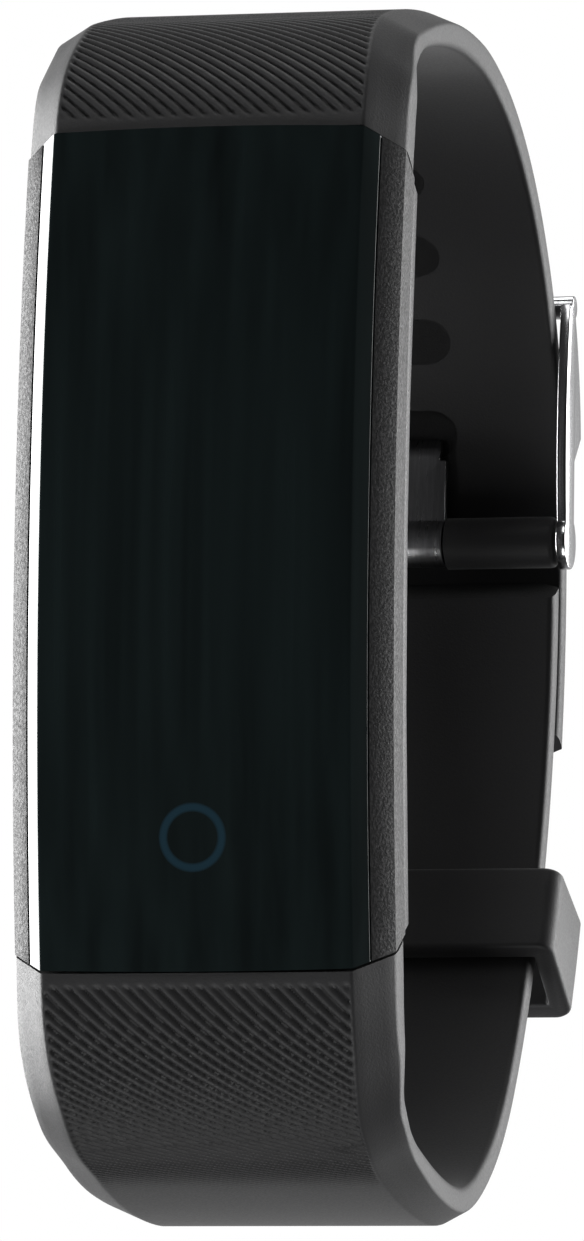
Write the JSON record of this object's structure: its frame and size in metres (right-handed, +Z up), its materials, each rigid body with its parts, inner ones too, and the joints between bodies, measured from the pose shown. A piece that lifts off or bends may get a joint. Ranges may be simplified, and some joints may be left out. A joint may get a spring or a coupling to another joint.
{
  "type": "fitness tracker band",
  "caption": "Buckled wrist band with a curved glass-fronted tracker module, rubber strap halves, pin buckle and keeper.",
  "frame": {"origin": "centre of the wrist opening", "axes": "+X along the wrist across the strap's width, +Y from the display towards the buckle, +Z up along the display's long axis"},
  "size_m": [0.0198, 0.0524, 0.0632],
  "materials": {
    "black_glass": "polished black-backed cover glass",
    "adhesive": "black adhesive foam tape",
    "case_plastic": "fine-textured matte charcoal",
    "seal_rubber": "soft black silicone",
    "rear_plastic": "satin black",
    "screw_steel": "small blackened steel",
    "window_glass": "clear dark window",
    "gold_contact": "gold plated",
    "foam": "closed-cell black foam",
    "led": "clear encapsulated chip",
    "diode": "dark encapsulated chip",
    "panel": "glossy display stack",
    "flex_film": "amber polyimide ribbon",
    "copper_film": "bare copper film",
    "battery_foil": "silver pouch foil",
    "board": "green solder mask",
    "chip": "moulded epoxy",
    "motor_steel": "bright nickel",
    "weight_metal": "sintered tungsten",
    "strap_rubber": "satin elastomer with fine ribs",
    "keeper_rubber": "smooth satin elastomer",
    "buckle_steel": "polished stainless",
    "tongue_steel": "satin stainless",
    "bar_steel": "turned stainless",
    "spring_steel": "drawn spring wire"
  },
  "bodies": {
    "tracker": {"cover_glass": "black_glass", "lens_adhesive": "adhesive", "top_housing": "case_plastic", "case_seal": "seal_rubber", "rear_cover": "rear_plastic", "housing_screws": "screw_steel", "sensor_window": "window_glass", "charging_contacts": "gold_contact", "sensor_light_shield": "foam", "green_leds": "led", "photodiode": "diode", "display_panel": "panel", "display_flex": "flex_film", "touch_key_electrode": "copper_film", "battery": "battery_foil", "main_board": "board", "processor_chip": "chip", "motion_sensor_chip": "chip", "vibration_motor_case": "motor_steel", "upper_strap": "strap_rubber", "lower_strap": "strap_rubber", "upper_bar_tube": "bar_steel", "upper_bar_spring": "spring_steel", "lower_bar_tube": "bar_steel", "lower_bar_spring": "spring_steel", "buckle_bar_tube": "bar_steel", "buckle_bar_spring": "spring_steel"},
    "buckle": {"buckle_frame": "buckle_steel"},
    "tongue": {"buckle_tongue": "tongue_steel"},
    "keeper": {"keeper_loop": "keeper_rubber"},
    "motor_weight": {"vibration_motor_weight": "weight_metal"},
    "upper_bar_pin_left": {"upper_bar_pin_left": "bar_steel"},
    "upper_bar_pin_right": {"upper_bar_pin_right": "bar_steel"},
    "lower_bar_pin_left": {"lower_bar_pin_left": "bar_steel"},
    "lower_bar_pin_right": {"lower_bar_pin_right": "bar_steel"},
    "buckle_bar_pin_left": {"buckle_bar_pin_left": "bar_steel"},
    "buckle_bar_pin_right": {"buckle_bar_pin_right": "bar_steel"}
  },
  "joints": [
    {"name": "buckle_hinge", "type": "hinge", "parent": "tracker", "child": "buckle", "pos_m": [0, 0.0194, 0.0074], "axis": [1, 0, 0], "range_deg": [-1.5, 0.5]},
    {"name": "tongue_hinge", "type": "hinge", "parent": "tracker", "child": "tongue", "pos_m": [0, 0.0194, 0.0074], "axis": [1, 0, 0], "range_deg": [-1.5, 0.5]},
    {"name": "keeper_slide", "type": "hinge", "parent": "tracker", "child": "keeper", "pos_m": [0, -0.02438, 0.00496], "axis": [1, 0, 0], "range_deg": [-6, 21]},
    {"name": "motor_spin", "type": "hinge", "parent": "tracker", "child": "motor_weight", "pos_m": [0, -0.02445, -0.0092], "axis": [0, 1, 0], "continuous": true},
    {"name": "upper_bar_pin_left_slide", "type": "slide", "parent": "tracker", "child": "upper_bar_pin_left", "axis": [1, 0, 0], "range_m": [0, 0.0008], "stiffness_N_per_m": 400, "springref_m": -0.0008, "deforming": ["upper_bar_spring"]},
    {"name": "upper_bar_pin_right_slide", "type": "slide", "parent": "tracker", "child": "upper_bar_pin_right", "axis": [-1, 0, 0], "range_m": [0, 0.0008], "stiffness_N_per_m": 400, "springref_m": -0.0008},
    {"name": "lower_bar_pin_left_slide", "type": "slide", "parent": "tracker", "child": "lower_bar_pin_left", "axis": [1, 0, 0], "range_m": [0, 0.0008], "stiffness_N_per_m": 400, "springref_m": -0.0008, "deforming": ["lower_bar_spring"]},
    {"name": "lower_bar_pin_right_slide", "type": "slide", "parent": "tracker", "child": "lower_bar_pin_right", "axis": [-1, 0, 0], "range_m": [0, 0.0008], "stiffness_N_per_m": 400, "springref_m": -0.0008},
    {"name": "buckle_bar_pin_left_slide", "type": "slide", "parent": "tracker", "child": "buckle_bar_pin_left", "axis": [1, 0, 0], "range_m": [0, 0.0008], "stiffness_N_per_m": 400, "springref_m": -0.0008, "deforming": ["buckle_bar_spring"]},
    {"name": "buckle_bar_pin_right_slide", "type": "slide", "parent": "tracker", "child": "buckle_bar_pin_right", "axis": [-1, 0, 0], "range_m": [0, 0.0008], "stiffness_N_per_m": 400, "springref_m": -0.0008}
  ],
  "couplings": [
    {"joint": "tongue_hinge", "follows": "buckle_hinge", "ratio": 1}
  ]
}
